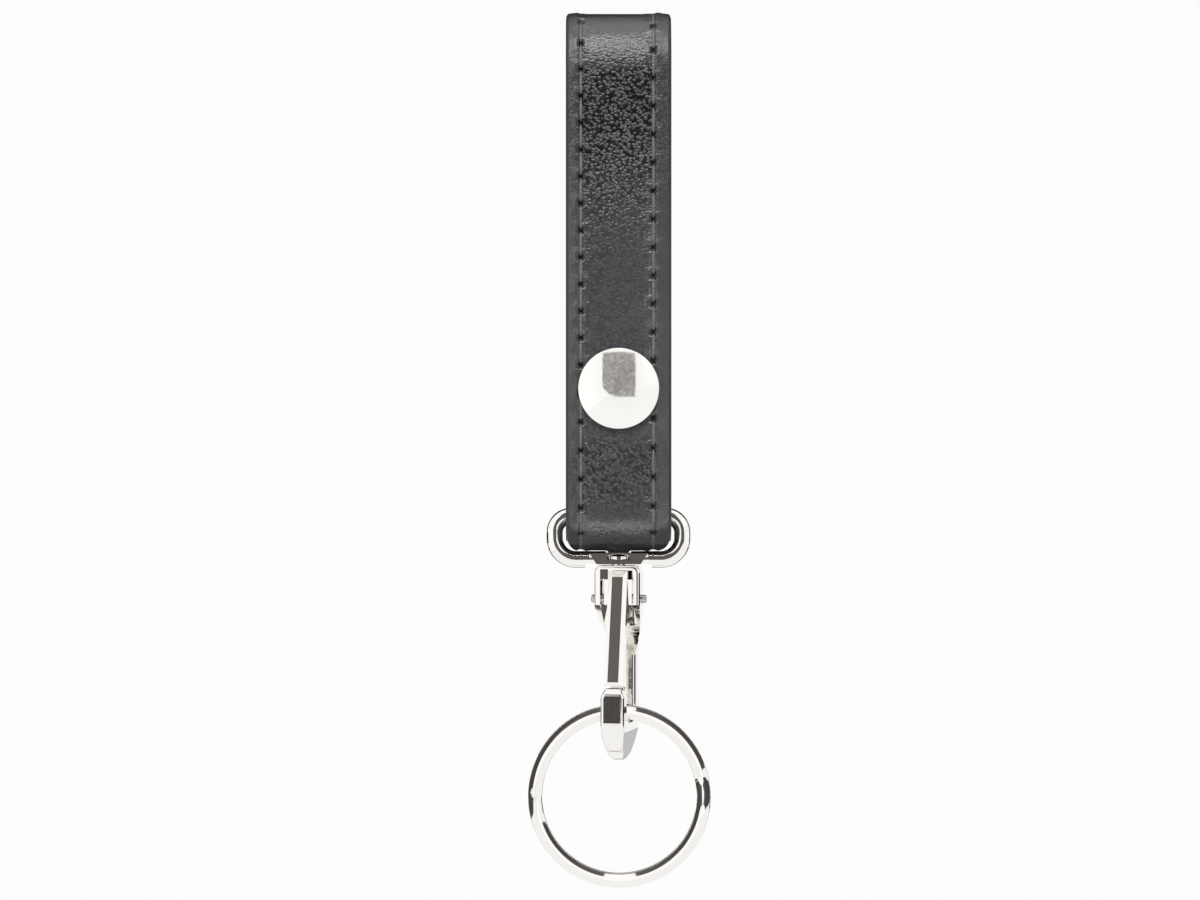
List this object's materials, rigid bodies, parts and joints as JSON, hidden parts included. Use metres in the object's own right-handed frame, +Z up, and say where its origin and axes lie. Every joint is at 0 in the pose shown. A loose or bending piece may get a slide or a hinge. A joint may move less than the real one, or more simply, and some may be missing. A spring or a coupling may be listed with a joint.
{
  "type": "belt key clip",
  "caption": "Lined leather belt strap closed by a snap, carrying an oblong swivel loop, a push-gate snap hook and a split key ring.",
  "frame": {"origin": "middle of the belt slot at its top, under the strap's top bend", "axes": "+Z up along the strap, +X along the belt through the slot (the picture's right), +Y to the rear leg"},
  "size_m": [0.035, 0.0179, 0.1678],
  "materials": {
    "leather": "pebbled, semi-matt",
    "thread": "waxed",
    "nickel": "polished nickel plate",
    "spring_steel": "drawn wire"
  },
  "bodies": {
    "front_strap": {"strap_face": "leather", "strap_liner": "leather", "stitching_left": "thread", "stitching_right": "thread", "snap_cap": "nickel", "snap_socket": "nickel", "snap_spring": "spring_steel"},
    "rear_strap": {"rear_strap_face": "leather", "rear_strap_liner": "leather", "rear_stitching_left": "thread", "rear_stitching_right": "thread", "snap_stud": "nickel", "snap_post": "nickel"},
    "loop": {"swivel_loop": "nickel"},
    "hook": {"swivel_rivet": "nickel", "hook_body": "nickel", "gate_pin": "spring_steel", "gate_spring": "spring_steel"},
    "gate": {"gate": "nickel"},
    "key_ring": {"split_ring": "nickel"}
  },
  "joints": [
    {"name": "strap_open", "type": "hinge", "parent": "front_strap", "child": "rear_strap", "pos_m": [0, 0.0071, -0.0035], "axis": [1, 0, 0], "range_deg": [0, 70], "deforming": ["snap_spring"]},
    {"name": "loop_swing", "type": "hinge", "parent": "front_strap", "child": "loop", "pos_m": [0, -0.0015, -0.09305], "axis": [1, 0, 0], "range_deg": [-90, 90]},
    {"name": "hook_swivel", "type": "hinge", "parent": "loop", "child": "hook", "pos_m": [0, -0.0015, -0.1024], "axis": [0, 0, 1], "continuous": true},
    {"name": "gate_push", "type": "hinge", "parent": "hook", "child": "gate", "pos_m": [0.00009, -0.00106, -0.1089], "axis": [0.9781, -0.2079, 0], "range_deg": [0, 18], "stiffness_Nm_per_rad": 0.01, "springref_deg": -34.38, "deforming": ["gate_spring"]},
    {"name": "ring_swing", "type": "hinge", "parent": "hook", "child": "key_ring", "pos_m": [0.00018, -0.00067, -0.1306], "axis": [1, 0, 0], "range_deg": [-80, 80]}
  ]
}
